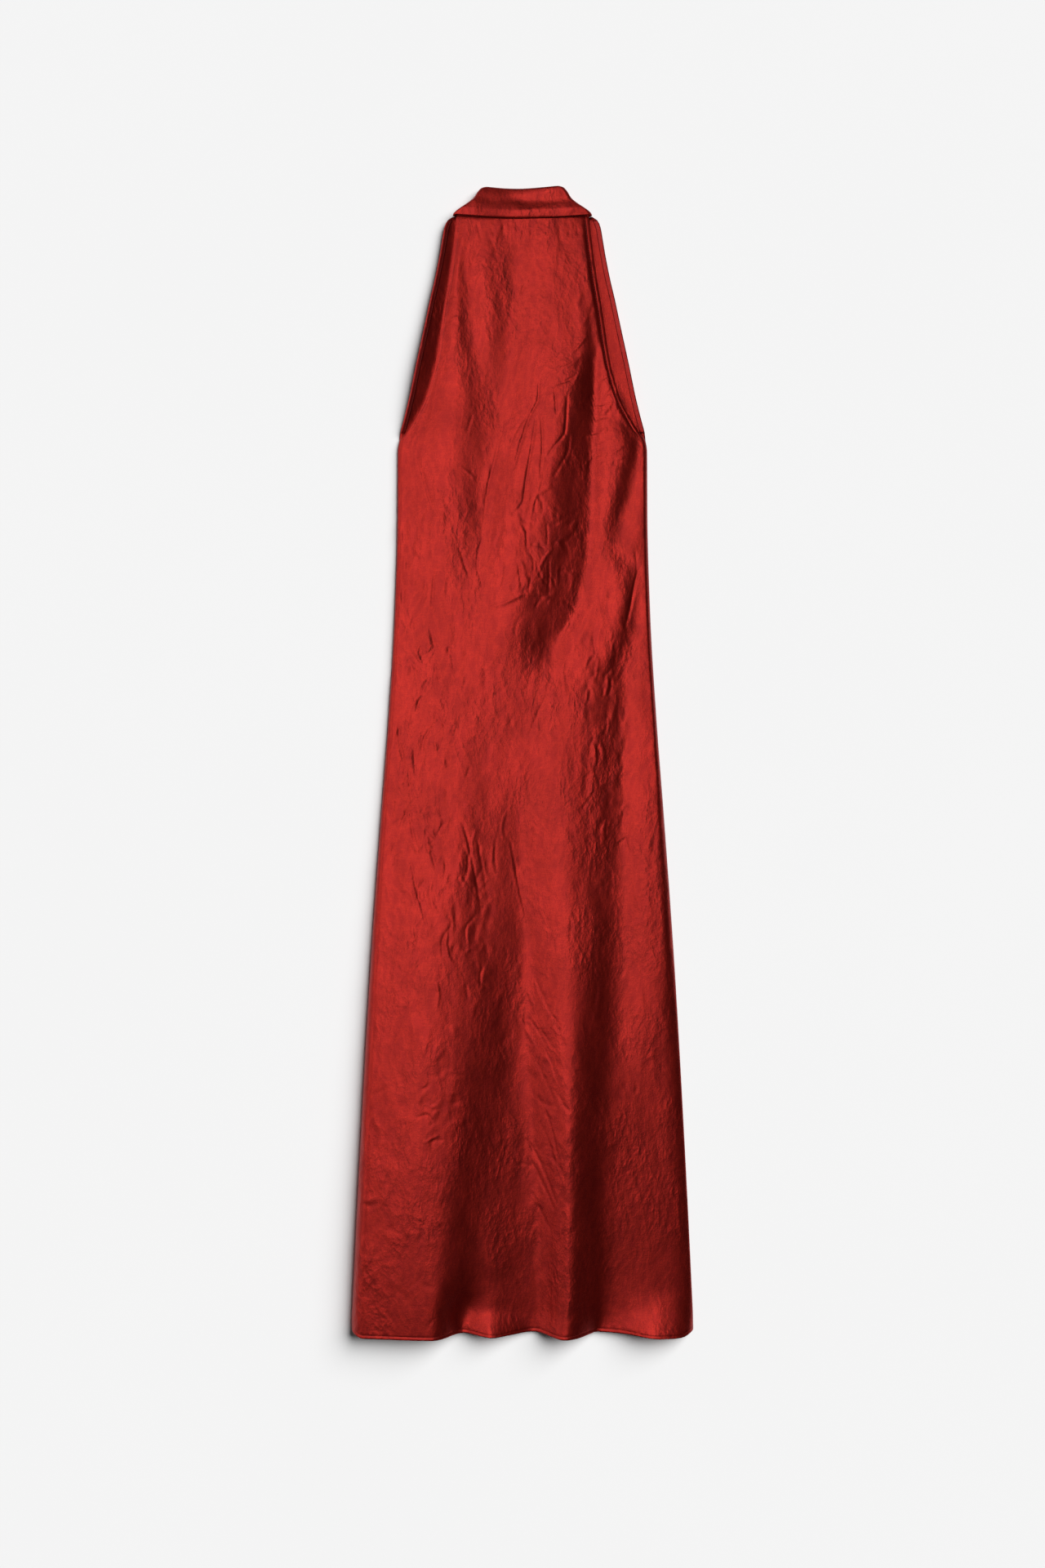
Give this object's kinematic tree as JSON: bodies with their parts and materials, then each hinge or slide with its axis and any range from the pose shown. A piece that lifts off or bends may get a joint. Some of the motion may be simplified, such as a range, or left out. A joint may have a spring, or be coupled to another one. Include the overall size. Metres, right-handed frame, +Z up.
{
  "type": "maxi dress",
  "caption": "Long sleeveless satin dress with a stand collar and deep-cut armholes, laid out flat with soft lengthwise folds.",
  "frame": {"origin": "on the resting surface, under the middle of the laid-out dress", "axes": "+Z up from the resting surface, +Y along the dress from the hem to the collar, +X to the right seen from above"},
  "size_m": [0.418, 1.402, 0.029],
  "materials": {
    "satin": "crinkled red satin with a soft sheen",
    "facing_satin": "the same satin, cut as a narrow facing",
    "button_satin": "button covered with the same satin",
    "loop_cord": "narrow cord of the same satin"
  },
  "bodies": {
    "root": {"front_panel": "satin", "back_panel": "satin", "collar_left": "satin", "collar_right": "satin", "armhole_facing_left": "facing_satin", "armhole_facing_right": "facing_satin", "neck_button": "button_satin", "neck_loop": "loop_cord"}
  },
  "joints": []
}
